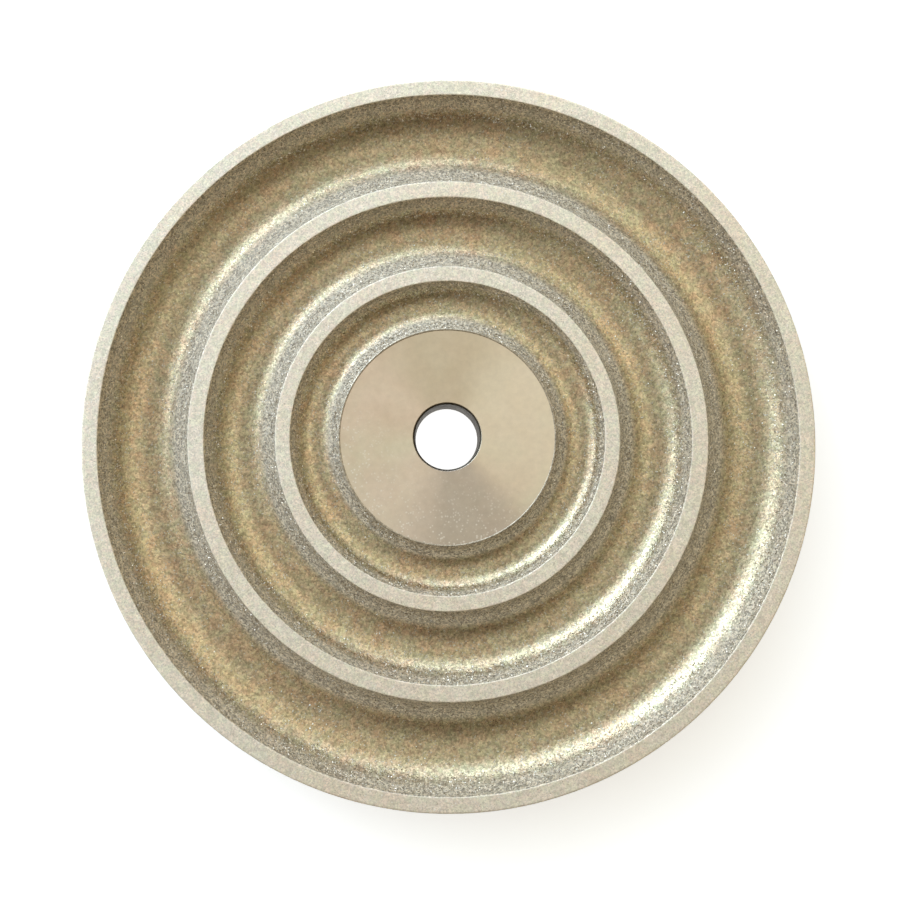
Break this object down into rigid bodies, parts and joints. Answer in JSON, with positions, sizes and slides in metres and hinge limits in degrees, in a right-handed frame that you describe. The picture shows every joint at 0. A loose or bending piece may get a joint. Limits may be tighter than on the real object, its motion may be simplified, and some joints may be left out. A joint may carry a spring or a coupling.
{
  "type": "diamond grinding wheel",
  "caption": "Steel disc grinding wheel with diamond-coated concentric round-bottomed grooves around a flat nickel-plated hub and a plain centre bore, for rounding stone beads.",
  "frame": {"origin": "centre of the bore on the back face, where the wheel seats", "axes": "+Z along the bore, from the back face towards the grooved working face; X and Y lie in the back face and are equivalent, since the wheel is a body of revolution"},
  "size_m": [0.18, 0.18, 0.018],
  "materials": {
    "core_steel": "bare turned steel, seen only in the bore",
    "hub_nickel": "satin nickel plating, faintly champagne, smooth",
    "back_nickel": "satin nickel plating over a turned face",
    "rim_nickel": "satin nickel plating over a turned rim",
    "diamond_coat": "coarse sparkling grit held in warm grey nickel"
  },
  "bodies": {
    "root": {"core_disc": "core_steel", "nickel_plate_hub": "hub_nickel", "nickel_plate_back": "back_nickel", "nickel_plate_rim": "rim_nickel", "diamond_coat_inner_groove": "diamond_coat", "diamond_coat_middle_groove": "diamond_coat", "diamond_coat_outer_groove": "diamond_coat", "diamond_coat_inner_land": "diamond_coat", "diamond_coat_middle_land": "diamond_coat", "diamond_coat_rim_land": "diamond_coat", "diamond_coat_rim_side": "diamond_coat"}
  },
  "joints": []
}
